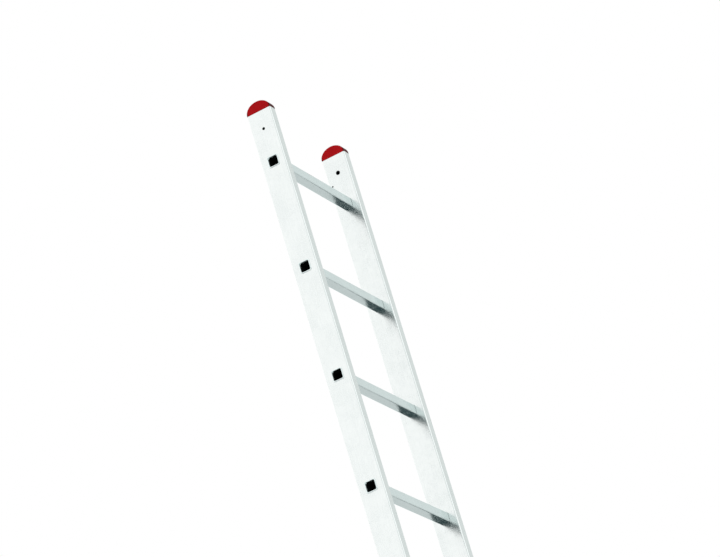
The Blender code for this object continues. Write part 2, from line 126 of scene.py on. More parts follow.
def link(tree, source, target):
    tree.links.new(source, target)


def value_or_link(tree, socket, value):
    if isinstance(value, bpy.types.NodeSocket):
        link(tree, value, socket)
    elif value is not None:
        socket.default_value = value


def calculate(tree, operation, first, second=None, clamp=False):
    node = tree.nodes.new("ShaderNodeMath")
    node.operation = operation
    node.use_clamp = clamp
    value_or_link(tree, node.inputs[0], first)
    value_or_link(tree, node.inputs[1], second)
    return node.outputs[0]


def part_of(tree, value, share):
    return calculate(tree, "MULTIPLY", value, share)


def spread(tree, value, from_low, from_high, to_low, to_high, smooth=False):
    """The value carried from one range to another, held at its ends."""
    node = tree.nodes.new("ShaderNodeMapRange")
    node.interpolation_type = "SMOOTHSTEP" if smooth else "LINEAR"
    for socket, given in zip(node.inputs, (value, from_low, from_high, to_low, to_high)):
        value_or_link(tree, socket, given)
    return node.outputs["Result"]


def blend_colours(tree, share, first, second):
    node = tree.nodes.new("ShaderNodeMix")
    node.data_type = "RGBA"
    value_or_link(tree, node.inputs["Factor"], share)
    for socket, colour in ((node.inputs[6], first), (node.inputs[7], second)):
        value_or_link(tree, socket, colour if isinstance(colour, bpy.types.NodeSocket) else (*colour, 1.0))
    return node.outputs[2]


def stretched(tree, vector, stretch):
    node = tree.nodes.new("ShaderNodeVectorMath")
    node.operation = "MULTIPLY"
    value_or_link(tree, node.inputs[0], vector)
    value_or_link(tree, node.inputs[1], stretch)
    return node.outputs[0]


def noise(tree, vector, scale, detail=3.0, roughness=0.55):
    node = tree.nodes.new("ShaderNodeTexNoise")
    value_or_link(tree, node.inputs["Vector"], vector)
    value_or_link(tree, node.inputs["Scale"], scale)
    node.inputs["Detail"].default_value = detail
    node.inputs["Roughness"].default_value = roughness
    return node.outputs[0]


def new_group(name, inputs, outputs):
    """An empty shader node group with its named sockets, and the nodes at its two ends."""
    tree = bpy.data.node_groups.new(name, "ShaderNodeTree")
    for label, kind in inputs:
        tree.interface.new_socket(label, in_out="INPUT", socket_type=kind)
    for label, kind in outputs:
        tree.interface.new_socket(label, in_out="OUTPUT", socket_type=kind)
    return tree, tree.nodes.new("NodeGroupInput"), tree.nodes.new("NodeGroupOutput")


FLOAT = "NodeSocketFloat"
VECTOR = "NodeSocketVector"


def build_drawn_lines():
    """Fine lines left along a drawn or extruded bar, in two widths."""
    sockets = [("Vector", VECTOR), ("Stretch", VECTOR)]
    tree, given, out = new_group("drawn_lines", sockets, [("Lines", FLOAT)])
    along = stretched(tree, given.outputs["Vector"], given.outputs["Stretch"])
    fine = noise(tree, along, 2600.0, 2.0, 0.6)
    broad = noise(tree, along, 420.0, 2.0, 0.5)
    both = calculate(tree, "ADD", part_of(tree, fine, 0.55), part_of(tree, broad, 0.45))
    link(tree, both, out.inputs["Lines"])
    return tree


def build_clouding():
    """Soft clouds of handling and storage over a surface, at two sizes."""
    sockets = [("Vector", VECTOR), ("Scale", FLOAT)]
    tree, given, out = new_group("clouding", sockets, [("Clouds", FLOAT)])
    large = noise(tree, given.outputs["Vector"], given.outputs["Scale"], 3.0, 0.6)
    small = noise(tree, given.outputs["Vector"], part_of(tree, given.outputs["Scale"], 5.3), 4.0)
    both = calculate(tree, "ADD", part_of(tree, large, 0.6), part_of(tree, small, 0.4))
    link(tree, spread(tree, both, 0.34, 0.66, 0.0, 1.0, smooth=True), out.inputs["Clouds"])
    return tree


def build_scratches():
    """Thin, scattered scratches that mostly follow one direction, and small knocks between them."""
    sockets = [("Vector", VECTOR), ("Stretch", VECTOR), ("Scale", FLOAT)]
    tree, given, out = new_group("scratches", sockets, [("Scratches", FLOAT), ("Knocks", FLOAT)])
    along = stretched(tree, given.outputs["Vector"], given.outputs["Stretch"])
    thin = noise(tree, along, part_of(tree, given.outputs["Scale"], 3.0), 2.0, 0.7)
    where = noise(tree, given.outputs["Vector"], given.outputs["Scale"], 2.0)
    rare = spread(tree, thin, 0.665, 0.70, 0.0, 1.0)
    here = spread(tree, where, 0.50, 0.62, 0.0, 1.0)
    link(tree, part_of(tree, rare, here), out.inputs["Scratches"])
    cells = tree.nodes.new("ShaderNodeTexVoronoi")
    link(tree, given.outputs["Vector"], cells.inputs["Vector"])
    link(tree, part_of(tree, given.outputs["Scale"], 1.7), cells.inputs["Scale"])
    dots = spread(tree, cells.outputs["Distance"], 0.03, 0.06, 1.0, 0.0)
    elsewhere = spread(tree, where, 0.42, 0.5, 1.0, 0.0)
    link(tree, part_of(tree, dots, elsewhere), out.inputs["Knocks"])
    return tree


def build_edge_wear():
    """Where a surface turns over a sharp edge: 1 on the edge and 0 on the flats, broken up by noise."""
    sockets = [("Vector", VECTOR), ("Breaks", FLOAT)]
    tree, given, out = new_group("edge_wear", sockets, [("Edges", FLOAT)])
    rounded = tree.nodes.new("ShaderNodeBevel")
    rounded.samples = 4
    rounded.inputs["Radius"].default_value = 0.0009
    facing = tree.nodes.new("ShaderNodeNewGeometry")
    turn = tree.nodes.new("ShaderNodeVectorMath")
    turn.operation = "DOT_PRODUCT"
    link(tree, rounded.outputs[0], turn.inputs[0])
    link(tree, facing.outputs["Normal"], turn.inputs[1])
    sharp = spread(tree, turn.outputs["Value"], 0.80, 0.995, 1.0, 0.0, smooth=True)
    broken = noise(tree, given.outputs["Vector"], given.outputs["Breaks"], 3.0, 0.65)
    patchy = spread(tree, broken, 0.38, 0.60, 0.25, 1.0)
    link(tree, part_of(tree, sharp, patchy), out.inputs["Edges"])
    return tree


GROUPS = {
    "lines": build_drawn_lines(),
    "clouds": build_clouding(),
    "scratches": build_scratches(),
    "edges": build_edge_wear(),
}


class Finish:
    """A material in the making: its Principled shader, its object coordinates and its shared effects."""

    def __init__(self, name, colour, roughness, metallic=0.0, specular=0.5):
        self.material = bpy.data.materials.new(name)
        self.material.use_nodes = True
        self.tree = self.material.node_tree
        self.shader = self.tree.nodes["Principled BSDF"]
        self.shader.inputs["Base Color"].default_value = (*colour, 1.0)
        self.shader.inputs["Roughness"].default_value = roughness
        self.shader.inputs["Metallic"].default_value = metallic
        self.shader.inputs["Specular IOR Level"].default_value = specular
        self.where = self.tree.nodes.new("ShaderNodeTexCoord").outputs["Object"]

    def effect(self, name, **values):
        node = self.tree.nodes.new("ShaderNodeGroup")
        node.node_tree = GROUPS[name]
        link(self.tree, self.where, node.inputs["Vector"])
        for label, value in values.items():
            node.inputs[label].default_value = value
        return node.outputs

    def feed(self, label, source):
        link(self.tree, source, self.shader.inputs[label])

    def bump(self, height, distance, strength=1.0, under=None):
        node = self.tree.nodes.new("ShaderNodeBump")
        node.inputs["Strength"].default_value = strength
        node.inputs["Distance"].default_value = distance
        link(self.tree, height, node.inputs["Height"])
        if under is not None:
            link(self.tree, under, node.inputs["Normal"])
        return node.outputs["Normal"]


def aluminium_finish(name, stretch, pale, deep, roughness):
    """Mill-finish aluminium: drawn lines along the bar, faint clouds, scratches and rubbed edges."""
    made = Finish(name, pale, roughness[0], metallic=1.0)
    tree = made.tree
    lines = made.effect("lines", Stretch=stretch)["Lines"]
    clouds = made.effect("clouds", Scale=17.0)["Clouds"]
    marks = made.effect("scratches", Stretch=tuple(0.25 + 0.75 * part for part in stretch), Scale=70.0)
    edges = made.effect("edges", Breaks=160.0)["Edges"]
    colour = blend_colours(tree, clouds, pale, deep)
    streaks = spread(tree, lines, 0.38, 0.62, 0.0, 0.35)
    colour = blend_colours(tree, streaks, colour, tuple(0.93 * part for part in deep))
    colour = blend_colours(tree, part_of(tree, marks["Scratches"], 0.4), colour, (0.95, 0.96, 0.96))
    colour = blend_colours(tree, part_of(tree, marks["Knocks"], 0.45), colour, (0.50, 0.54, 0.54))
    colour = blend_colours(tree, part_of(tree, edges, 0.6), colour, (0.96, 0.965, 0.96))
    made.feed("Base Color", colour)
    rough = spread(tree, clouds, 0.0, 1.0, *roughness)
    rough = calculate(tree, "ADD", rough, spread(tree, lines, 0.3, 0.7, -0.04, 0.04))
    rough = calculate(tree, "SUBTRACT", rough, part_of(tree, edges, 0.08), clamp=True)
    made.feed("Roughness", rough)
    drawn = made.bump(lines, 0.00001, 0.5)
    made.feed("Normal", made.bump(marks["Scratches"], -0.00003, 0.5, under=drawn))
    return made.material


def painted_shade_bore_finish(name):
    """The dull inside of a tube, painted near black as the shade that fills it, with faint clouds of tone."""
    made = Finish(name, (0.004, 0.006, 0.006), 0.9, specular=0.05)
    clouds = made.effect("clouds", Scale=60.0)["Clouds"]
    colour = blend_colours(made.tree, clouds, (0.002, 0.003, 0.003), (0.006, 0.008, 0.008))
    made.feed("Base Color", colour)
    made.feed("Roughness", spread(made.tree, clouds, 0.0, 1.0, 0.85, 1.0))
    made.feed("Normal", made.bump(clouds, 0.0001, 0.4))
    return made.material


def red_finish(name):
    """Moulded red plastic, with painted shade: near black over the dome's curved top towards both ends, and
    at both tips.
    """
    made = Finish(name, (0.40, 0.001, 0.004), 0.5, specular=0.08)
    tree = made.tree
    clouds = made.effect("clouds", Scale=45.0)["Clouds"]
    marks = made.effect("scratches", Stretch=(1.0, 0.3, 1.0), Scale=120.0)
    edges = made.effect("edges", Breaks=260.0)["Edges"]
    colour = blend_colours(tree, clouds, (0.385, 0.001, 0.0035), (0.335, 0.0007, 0.0028))
    # Painted shade: the curved top towards both ends, and both tips, are blended near black, broken up by
    # noise.
    place = tree.nodes.new("ShaderNodeSeparateXYZ")
    link(tree, made.where, place.inputs[0])
    from_middle = calculate(tree, "ABSOLUTE", place.outputs["Y"])
    from_middle = calculate(tree, "ABSOLUTE", calculate(tree, "SUBTRACT", from_middle, SECTION_Y))
    facing = tree.nodes.new("ShaderNodeNewGeometry")
    turned = tree.nodes.new("ShaderNodeSeparateXYZ")
    link(tree, facing.outputs["Normal"], turned.inputs[0])
    over_top = spread(tree, calculate(tree, "ABSOLUTE", turned.outputs["X"]), 0.75, 0.95, 1.0, 0.0)
    shoulder = spread(tree, from_middle, 0.014, 0.028, 0.0, 1.0, smooth=True)
    tip = spread(tree, from_middle, 0.0265, 0.0312, 0.0, 1.0, smooth=True)
    cap_painted_shade = calculate(tree, "MAXIMUM", part_of(tree, over_top, shoulder), tip)
    broken = spread(tree, noise(tree, made.where, 700.0, 3.0, 0.7), 0.3, 0.6, 0.78, 1.0)
    cap_painted_shade = part_of(tree, cap_painted_shade, broken)
    colour = blend_colours(tree, part_of(tree, cap_painted_shade, 0.93), colour, (0.012, 0.002, 0.003))
    colour = blend_colours(tree, part_of(tree, marks["Scratches"], 0.3), colour, (0.75, 0.12, 0.12))
    colour = blend_colours(tree, part_of(tree, edges, 0.12), colour, (0.80, 0.12, 0.12))
    made.feed("Base Color", colour)
    made.feed("Roughness", spread(tree, clouds, 0.0, 1.0, 0.42, 0.58))
    grain = noise(tree, made.where, 2400.0, 2.0, 0.5)
    made.feed("Normal", made.bump(grain, 0.00004, 0.35))
    return made.material


def black_finish(name, pale, deep, roughness, grain_scale, grain_height, dust):
    """Black moulded plastic or rubber, with a fine grain, grey dust and paler worn edges."""
    made = Finish(name, deep, roughness[0], specular=0.4)
    tree = made.tree
    clouds = made.effect("clouds", Scale=38.0)["Clouds"]
    edges = made.effect("edges", Breaks=220.0)["Edges"]
    marks = made.effect("scratches", Stretch=(1.0, 1.0, 0.4), Scale=90.0)
    colour = blend_colours(tree, clouds, deep, pale)
    dusty = part_of(tree, spread(tree, clouds, 0.45, 1.0, 0.0, 1.0), dust)
    colour = blend_colours(tree, dusty, colour, (0.20, 0.19, 0.175))
    colour = blend_colours(tree, part_of(tree, edges, 0.35), colour, (0.16, 0.16, 0.16))
    colour = blend_colours(tree, part_of(tree, marks["Scratches"], 0.3), colour, (0.2, 0.2, 0.2))
    made.feed("Base Color", colour)
    made.feed("Roughness", spread(tree, clouds, 0.0, 1.0, *roughness))
    grain = noise(tree, made.where, grain_scale, 3.0, 0.6)
    made.feed("Normal", made.bump(grain, grain_height, 0.5))
    return made.material


def steel_finish(name):
    """Zinc-plated steel: a fine blue-grey spangle, rubbed bright at the edges, with a little grime."""
    made = Finish(name, (0.60, 0.62, 0.63), 0.34, metallic=1.0)
    tree = made.tree
    clouds = made.effect("clouds", Scale=60.0)["Clouds"]
    edges = made.effect("edges", Breaks=300.0)["Edges"]
    marks = made.effect("scratches", Stretch=(1.0, 1.0, 0.3), Scale=110.0)
    spangle = tree.nodes.new("ShaderNodeTexVoronoi")
    link(tree, made.where, spangle.inputs["Vector"])
    spangle.inputs["Scale"].default_value = 420.0
    grains = tree.nodes.new("ShaderNodeSeparateColor")
    link(tree, spangle.outputs["Color"], grains.inputs[0])
    colour = blend_colours(tree, clouds, (0.66, 0.68, 0.70), (0.54, 0.55, 0.55))
    shade = spread(tree, grains.outputs[0], 0.0, 1.0, 0.0, 0.22)
    colour = blend_colours(tree, shade, colour, (0.76, 0.78, 0.82))
    colour = blend_colours(tree, part_of(tree, edges, 0.6), colour, (0.80, 0.80, 0.79))
    grime = spread(tree, clouds, 0.7, 1.0, 0.0, 0.35)
    colour = blend_colours(tree, grime, colour, (0.26, 0.25, 0.23))
    made.feed("Base Color", colour)
    rough = spread(tree, clouds, 0.0, 1.0, 0.28, 0.42)
    rough = calculate(tree, "ADD", rough, part_of(tree, grime, 0.4))
    rough = calculate(tree, "SUBTRACT", rough, part_of(tree, edges, 0.1))
    made.feed("Roughness", rough)
    worked = made.bump(grains.outputs[0], 0.00001, 0.4)
    made.feed("Normal", made.bump(marks["Scratches"], -0.00003, 0.6, under=worked))
    return made.material


def floor_finish(name):
    """A plain pale floor, with only the faintest change of tone."""
    made = Finish(name, (0.62, 0.635, 0.635), 0.85, specular=0.1)
    clouds = made.effect("clouds", Scale=3.0)["Clouds"]
    made.feed("Base Color", blend_colours(made.tree, clouds, (0.615, 0.63, 0.63), (0.63, 0.64, 0.64)))
    return made.material


DRAWN_STRETCH = 0.012
STILE_ALUMINIUM = aluminium_finish(
    "stile_aluminium",
    stretch=(1.0, 1.0, DRAWN_STRETCH),
    pale=(0.905, 0.925, 0.918),
    deep=(0.865, 0.89, 0.885),
    roughness=(0.21, 0.29),
)
RUNG_ALUMINIUM = aluminium_finish(
    "rung_aluminium",
    stretch=(DRAWN_STRETCH, 1.0, 1.0),
    pale=(0.84, 0.91, 0.91),
    deep=(0.80, 0.87, 0.87),
    roughness=(0.17, 0.25),
)
# The bore finish is painted near black as shade; it goes inside the rungs and the stiles.
PAINTED_SHADE_BORE = painted_shade_bore_finish("bore_painted_shade")
RED_PLASTIC = red_finish("cap_red_plastic")
BLACK_PLASTIC = black_finish(
    "black_moulded_plastic",
    pale=(0.045, 0.045, 0.047),
    deep=(0.022, 0.022, 0.024),
    roughness=(0.42, 0.58),
    grain_scale=1800.0,
    grain_height=0.00004,
    dust=0.12,
)
BLACK_RUBBER = black_finish(
    "foot_rubber",
    pale=(0.035, 0.035, 0.034),
    deep=(0.015, 0.015, 0.015),
    roughness=(0.70, 0.86),
    grain_scale=900.0,
    grain_height=0.00008,
    dust=0.35,
)
ZINC_STEEL = steel_finish("zinc_plated_steel")


# Shaping


def block(bm, low, high):
    """A closed block between two corners."""
    low, high = Vector(low), Vector(high)
    matrix = Matrix.Translation((low + high) / 2) @ Matrix.Diagonal((*(high - low), 1.0))
    return bmesh.ops.create_cube(bm, size=1.0, matrix=matrix)["verts"]


def edges_along(verts, axis):
    found = {edge for vert in verts for edge in vert.link_edges}
    return [e for e in found if abs((e.verts[0].co - e.verts[1].co).normalized()[axis]) > 0.999]


def round_edges(bm, edges, radius, segments, affect="EDGES"):
    bmesh.ops.bevel(
        bm,
        geom=edges,
        offset=radius,
        offset_type="OFFSET",
        segments=segments,
        profile=0.5,
        affect=affect,
        material=-1,
    )


def bar(bm, low, high, axis, radius, segments=4):
    """A block whose four edges along one axis are rounded."""
    verts = block(bm, low, high)
    round_edges(bm, edges_along(verts, axis), radius, segments)


def cylinder(bm, radius, centre, low, high, steps=32):
    """A closed cylinder along X, about the point (y, z)."""
    middle = Matrix.Translation(((low + high) / 2, *centre))
    matrix = middle @ Matrix.Rotation(math.pi / 2, 4, "Y")
    bmesh.ops.create_cone(
        bm,
        cap_ends=True,
        segments=steps,
        radius1=radius,
        radius2=radius,
        depth=abs(high - low),
        matrix=matrix,
    )


def end_face(bm, axis, way):
    return max(bm.faces, key=lambda face: way * face.calc_center_bounds()[axis])


def step_face(bm, face, axis, rise, grow=0.0):
    """Extrude one face along an axis, and widen its outline by that much all round."""
    made = bmesh.ops.extrude_discrete_faces(bm, faces=[face])["faces"][0]
    corners = [vert.co.copy() for vert in made.verts]
    low = Vector([min(corner[i] for corner in corners) for i in range(3)])
    high = Vector([max(corner[i] for corner in corners) for i in range(3)])
    scale = Vector([1.0 if i == axis else 1 + 2 * grow / (high[i] - low[i]) for i in range(3)])
    about = Matrix.Translation(-(low + high) / 2)
    bmesh.ops.scale(bm, vec=scale, space=about, verts=made.verts[:])
    shift = Vector()
    shift[axis] = rise
    bmesh.ops.translate(bm, vec=shift, verts=made.verts[:])
    return made


def turn_steps(bm, face, way, start_radius, profile):
    """Carry an end face along X through a profile of (height, half width)."""
    height, radius = 0.0, start_radius
    for next_height, next_radius in profile:
        face = step_face(bm, face, X, way * (next_height - height), next_radius - radius)
        height, radius = next_height, next_radius
    return face


def worked(bm, kind, other=None, **settings):
    """The shape after one modifier, whose other shape, if any, is used up."""
    things = []
    for shape in filter(None, (bm, other)):
        mesh = bpy.data.meshes.new("work")
        shape.to_mesh(mesh)
        shape.free()
        thing = bpy.data.objects.new("work", mesh)
        bpy.context.scene.collection.objects.link(thing)
        things.append(thing)
    modifier = things[0].modifiers.new("work", kind)
    if other:
        modifier.object = things[1]
    for label, value in settings.items():
        setattr(modifier, label, value)
    result = bmesh.new()
    result.from_object(things[0], bpy.context.evaluated_depsgraph_get())
    for thing in things:
        mesh = thing.data
        bpy.data.objects.remove(thing)
        bpy.data.meshes.remove(mesh)
    return result


def cut(bm, tool):
    return worked(bm, "BOOLEAN", tool, operation="DIFFERENCE", solver="EXACT", use_self=True)


def join(bm, tool):
    return worked(bm, "BOOLEAN", tool, operation="UNION", solver="EXACT")


def paint(bm, index, inside):
    """Give a material slot to the faces whose centres pass a test."""
    for face in bm.faces:
        if inside(face.calc_center_median()):
            face.material_index = index


def finish_piece(bm, name, body, nodes, materials, soften=0.0, sharp_deg=40.0):
    """Turn a finished shape into the piece that stands for its nodes."""
    bmesh.ops.remove_doubles(bm, verts=bm.verts[:], dist=1e-6)
    mesh = bpy.data.meshes.new(name)
    bm.to_mesh(mesh)
    bm.free()
    mesh.shade_smooth()
    for material in materials:
        mesh.materials.append(material)
    piece = bpy.data.objects.new(name, mesh)
    bpy.context.scene.collection.objects.link(piece)
    if soften:
        edge = piece.modifiers.new("eased_edges", "BEVEL")
        edge.width = soften
        edge.segments = 2
        edge.limit_method = "ANGLE"
        edge.angle_limit = math.radians(sharp_deg)
        edge.material = -1
    else:
        mesh.set_sharp_from_angle(angle=math.radians(sharp_deg))
    even = piece.modifiers.new("even_shading", "WEIGHTED_NORMAL")
    even.keep_sharp = True
    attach(piece, body)
    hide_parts(*nodes)


# Stiles and rungs


def side_of(node):
    return 1 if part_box(node)[0].x > 0 else -1


def rivet_place(node):
    low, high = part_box(node)
    return (low.y + high.y) / 2, (low.z + high.z) / 2


def make_stile(node, body, rungs, rivets, pin_hole):
    """A hollow box section, open for its rungs, drilling, rivets and, on the fly, its pin hole."""
    low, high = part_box(node)
    side = side_of(node)
    centre_y = (low.y + high.y) / 2
    bm = bmesh.new()
    bar(bm, low, high, Z, STILE_RADIUS, 6)
    wall = Vector((STILE_WALL, STILE_WALL, -0.01))
    hollow = bmesh.new()
    bar(hollow, low + wall, high - wall, Z, STILE_RADIUS - STILE_WALL, 3)
    bm = cut(bm, hollow)
    tool = bmesh.new()
    for rung in rungs:
        rung_low, rung_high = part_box(rung)
        height = (rung_low.z + rung_high.z) / 2
        half = RUNG_SIZE / 2 + FIT_GAP
        start = (low.x - 0.005, centre_y - half, height - half)
        end = (high.x + 0.005, centre_y + half, height + half)
        bar(tool, start, end, X, RUNG_RADIUS + FIT_GAP, 4)
    outer = sorted((side * (HALF_WIDTH - 0.004), side * (HALF_WIDTH + 0.004)))
    inner = sorted((side * (INNER_FACE - 0.004), side * (INNER_FACE + 0.004)))
    drilling = high.z - DRILLING_BELOW_TOP
    cylinder(tool, OUTER_DRILLING_R, (centre_y, drilling), *outer)
    cylinder(tool, INNER_DRILLING_R, (centre_y, drilling), *inner)
    if pin_hole:
        place = (centre_y + PIN_HOLE_FROM_DRILLING[0], drilling + PIN_HOLE_FROM_DRILLING[1])
        cylinder(tool, PIN_HOLE_R, place, *inner, steps=16)
    for rivet in rivets:
        ends = inner if "lock_plate" in rivet else outer
        cylinder(tool, RIVET_SHANK_R + FIT_GAP, rivet_place(rivet), *ends, steps=16)
    bm = cut(bm, tool)
    # The inside faces take the dull bore finish, painted near black as shade.
    slack = 0.0001
    depth = (high.x - low.x) / 2 - STILE_WALL + slack
    breadth = (high.y - low.y) / 2 - STILE_WALL + slack
    middle_x = (low.x + high.x) / 2
    paint(bm, 1, lambda at: abs(at.x - middle_x) < depth and abs(at.y - centre_y) < breadth)
    finishes = [STILE_ALUMINIUM, PAINTED_SHADE_BORE]
    finish_piece(bm, node + "_section", body, [node], finishes, EASED_EDGE)


def make_rung(node, body):
    """A square tube with a grooved tread and its ends flared over the stiles."""
    low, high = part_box(node)
    centre = (low + high) / 2
    face_x = HALF_WIDTH + FIT_GAP
    half = RUNG_SIZE / 2
    corner = Vector((face_x, half, half))
    bm = bmesh.new()
    bar(bm, centre - corner, centre + corner, X, RUNG_RADIUS, 5)
    tread = [face for face in bm.faces if face.normal.z > 0.99]
    cuts = [(Vector((way * (INNER_FACE + 0.003), 0, 0)), Vector((1, 0, 0))) for way in (-1, 1)]
    first = centre.y - (TREAD_GROOVES - 1) / 2 * TREAD_PITCH
    middles = [first + number * TREAD_PITCH for number in range(TREAD_GROOVES)]
    for middle in middles:
        cuts += [(Vector((0, middle + way * TREAD_WIDTH / 2, 0)), Vector((0, 1, 0))) for way in (-1, 1)]
    for place, direction in cuts:
        geom = list({part for face in tread for part in (*face.verts, *face.edges, face)})
        bmesh.ops.bisect_plane(bm, geom=geom, dist=1e-6, plane_co=place, plane_no=direction)
        tread = [face for face in bm.faces if face.normal.z > 0.99]
    grooves = []
    for face in tread:
        at = face.calc_center_median()
        if abs(at.x) < INNER_FACE and min(abs(at.y - middle) for middle in middles) < TREAD_WIDTH / 4:
            grooves.append(face)
    bmesh.ops.inset_individual(
        bm,
        faces=grooves,
        thickness=TREAD_SLOPE,
        depth=-TREAD_DEPTH,
        use_even_offset=True,
    )
    mouths = []
    for way in (-1, 1):
        lip = [(height, size / 2) for height, size in LIP]
        mouths.append(turn_steps(bm, end_face(bm, X, way), way, half, lip))
    rims = [edge for face in mouths for edge in face.edges]
    bmesh.ops.delete(bm, geom=mouths, context="FACES_ONLY")
    bmesh.ops.bridge_loops(bm, edges=rims)
    bmesh.ops.recalc_face_normals(bm, faces=bm.faces[:])
    # The inside of the tube takes the dull bore finish, painted near black as shade.
    bore = LIP[-1][1] / 2 + 0.00005
    paint(bm, 1, lambda at: abs(at.x) < INNER_FACE and max(abs(at.y - centre.y), abs(at.z - centre.z)) < bore)
    finishes = [RUNG_ALUMINIUM, PAINTED_SHADE_BORE]
    finish_piece(bm, node + "_tube", body, [node], finishes, sharp_deg=24.0)


# Moulded ends


def make_end_cap(node, body):
    """A domed cap with eased edges, and the block below it that plugs the stile."""
    low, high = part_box(node)
    foot = high.z - CAP_RISE - CAP_EDGE
    half = (high.y - low.y) / 2
    centre = Vector(((low.x + high.x) / 2, (low.y + high.y) / 2, foot + CAP_EDGE))
    bm = bmesh.new()
    cylinder(bm, half, centre.yz, low.x, high.x, steps=96)
    bmesh.ops.scale(bm, vec=(1, 1, CAP_RISE / half), space=Matrix.Translation(-centre), verts=bm.verts[:])
    geom = bm.verts[:] + bm.edges[:] + bm.faces[:]
    bmesh.ops.bisect_plane(bm, geom=geom, dist=1e-6, plane_co=centre, plane_no=(0, 0, 1), clear_inner=True)
    border = [edge for edge in bm.edges if edge.is_boundary]
    base = bmesh.ops.contextual_create(bm, geom=border)["faces"][0]
    base = step_face(bm, base, Z, -CAP_EDGE)
    base = step_face(bm, base, Z, 0.0, -INSERT_STEP)
    base = step_face(bm, base, Z, low.z + 0.002 - foot)
    step_face(bm, base, Z, -0.002, -0.0006)
    bmesh.ops.recalc_face_normals(bm, faces=bm.faces[:])
    rims = []
    for edge in bm.edges:
        middle = (edge.verts[0].co + edge.verts[1].co) / 2
        on_side = min(abs(middle.x - low.x), abs(middle.x - high.x)) < 1e-5
        if on_side and middle.z > foot + 1e-5 and edge.calc_face_angle() > 1.0:
            rims.append(edge)
    round_edges(bm, rims, CAP_ROUNDING, 4)
    finish_piece(bm, node + "_moulding", body, [node], [RED_PLASTIC], sharp_deg=35.0)


def make_bottom_plug(node, body, stile):
    """A flat plug with an eased sole, pushed into a stile's lower end."""
    low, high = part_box(node)
    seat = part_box(stile)[0].z - FIT_GAP
    bm = bmesh.new()
    bar(bm, (low.x, low.y, low.z + 0.0008), (high.x, high.y, seat), Z, STILE_RADIUS, 5)
    step_face(bm, end_face(bm, Z, -1), Z, -0.0008, -0.0008)
    face = step_face(bm, end_face(bm, Z, 1), Z, 0.0, -INSERT_STEP)
    face = step_face(bm, face, Z, high.z - seat - 0.002)
    step_face(bm, face, Z, 0.002, -0.0006)
    bmesh.ops.recalc_face_normals(bm, faces=bm.faces[:])
    finish_piece(bm, node + "_moulding", body, [node], [BLACK_PLASTIC])


def make_foot(node, body, stile):
    """A rubber shoe: a ribbed cup round the stile's end, with a grooved sole."""
    low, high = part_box(node)
    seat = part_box(stile)[0].z - FIT_GAP
    radius = STILE_RADIUS + FOOT_WALL
    bm = bmesh.new()
    inward = Vector((RIB, RIB, 0))
    bar(bm, low + inward, (high.x - RIB, high.y - RIB, low.z + 0.004), Z, radius, 6)
    face = end_face(bm, Z, 1)
    groove = [(0.0006, -0.0006), (0.0008, 0.0), (0.0006, 0.0006)]
    steps = [(RIB, RIB), (0.0042, 0.0), *groove, (0.0040, 0.0), *groove, (0.0040, 0.0), *groove]
    level = low.z + 0.004
    for rise, grow in steps:
        face = step_face(bm, face, Z, rise, grow)
        level += rise
    face = step_face(bm, face, Z, high.z - 0.0007 - level)
    face = step_face(bm, face, Z, 0.0007, -0.0007)
    face = step_face(bm, face, Z, 0.0, -(FOOT_WALL - 0.0007))
    step_face(bm, face, Z, seat - high.z)
    bmesh.ops.recalc_face_normals(bm, faces=bm.faces[:])
    tool = bmesh.new()
    centre_y = (low.y + high.y) / 2
    for number in (-2, -1, 0, 1, 2):
        middle = centre_y + number * 3 * SOLE_GROOVE_WIDTH
        near, far = middle - SOLE_GROOVE_WIDTH / 2, middle + SOLE_GROOVE_WIDTH / 2
        block(tool, (low.x - 0.01, near, low.z - 0.01), (high.x + 0.01, far, low.z + SOLE_GROOVE_DEPTH))
    bm = cut(bm, tool)
    finish_piece(bm, node + "_shoe", body, [node], [BLACK_RUBBER], sharp_deg=30.0)


# Guides, stops and rivets


def make_rivet(node, body, seat, tail):
    """A blind rivet: a dome head with the broken stem in its middle."""
    side = side_of(node)
    way = side if seat > tail else -side
    bm = bmesh.new()
    head = side * seat + way * FIT_GAP
    cylinder(bm, RIVET_SHANK_R, rivet_place(node), *sorted((side * tail, head)), steps=24)
    turn_steps(bm, end_face(bm, X, way), way, RIVET_SHANK_R, RIVET_HEAD)
    bmesh.ops.recalc_face_normals(bm, faces=bm.faces[:])
    finish_piece(bm, node + "_head", body, [node], [ZINC_STEEL], sharp_deg=50.0)


def bends_of(bm, chosen):
    """The upright bends of a sheet at the depths that a test picks."""
    upright = [edge for edge in edges_along(bm.verts[:], Z) if len(edge.link_faces) == 2]
    return [edge for edge in upright if chosen(edge.verts[0].co.y)]


